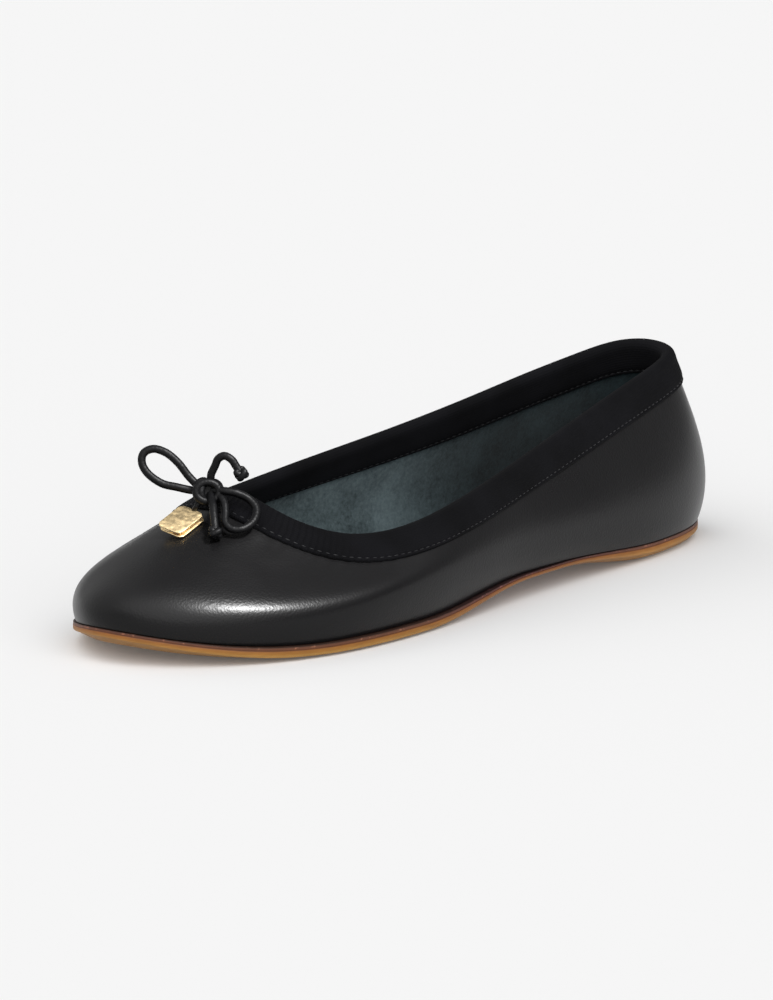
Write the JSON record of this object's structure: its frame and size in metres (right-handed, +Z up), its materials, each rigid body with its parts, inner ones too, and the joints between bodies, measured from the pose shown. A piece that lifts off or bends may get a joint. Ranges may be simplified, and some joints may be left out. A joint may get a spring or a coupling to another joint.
{
  "type": "ballet flat",
  "caption": "Left ballet flat in smooth black leather with a folded topline binding, a cord bow, a small gold plate and a thin tan leather sole.",
  "frame": {"origin": "on the floor under the middle of the shoe's box, its bow cord aside", "axes": "+X from heel to toe, +Y to the wearer's left, the outer side of this left shoe, +Z up"},
  "size_m": [0.2524, 0.081, 0.0587],
  "materials": {
    "leather": "smooth semi-gloss black",
    "suede": "dark teal suede, matte",
    "faille": "matte black, fine ribs",
    "sole_leather": "natural tan, satin",
    "cord": "matte black round cord",
    "gold": "hammered, polished gold"
  },
  "bodies": {
    "root": {"outsole": "sole_leather", "insole": "suede", "upper": "leather", "topline_binding": "faille", "bow_knot": "cord", "bow_loop_outer": "cord", "bow_loop_inner": "cord", "bow_end_outer": "cord", "bow_end_inner": "cord", "bow_stopper_outer": "cord", "bow_stopper_inner": "cord", "charm_plate": "gold"}
  },
  "joints": []
}
